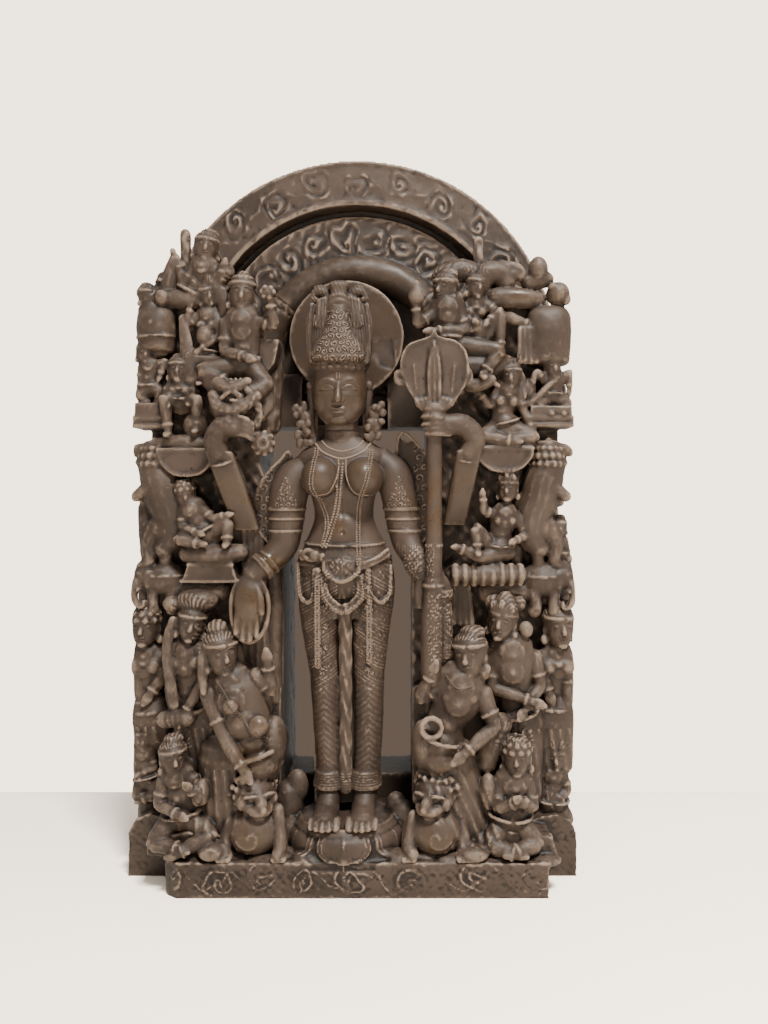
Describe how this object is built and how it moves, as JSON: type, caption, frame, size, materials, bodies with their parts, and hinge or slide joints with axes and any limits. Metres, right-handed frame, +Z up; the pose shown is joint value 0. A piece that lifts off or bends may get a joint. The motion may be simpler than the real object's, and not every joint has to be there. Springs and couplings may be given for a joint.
{
  "type": "carved stone parvati stele",
  "caption": "Arched stone stele with a standing goddess, a trident, a halo and flanks of small figures, on a plinth.",
  "frame": {"origin": "under the middle of the block, on the plane that the plinth stands on", "axes": "+Z up, the carved front faces -Y, +X to the viewer's right"},
  "size_m": [0.434, 0.19, 0.73],
  "materials": {
    "stone": "worn schist, polished in places"
  },
  "bodies": {
    "root": {"stele": "stone"}
  },
  "joints": []
}
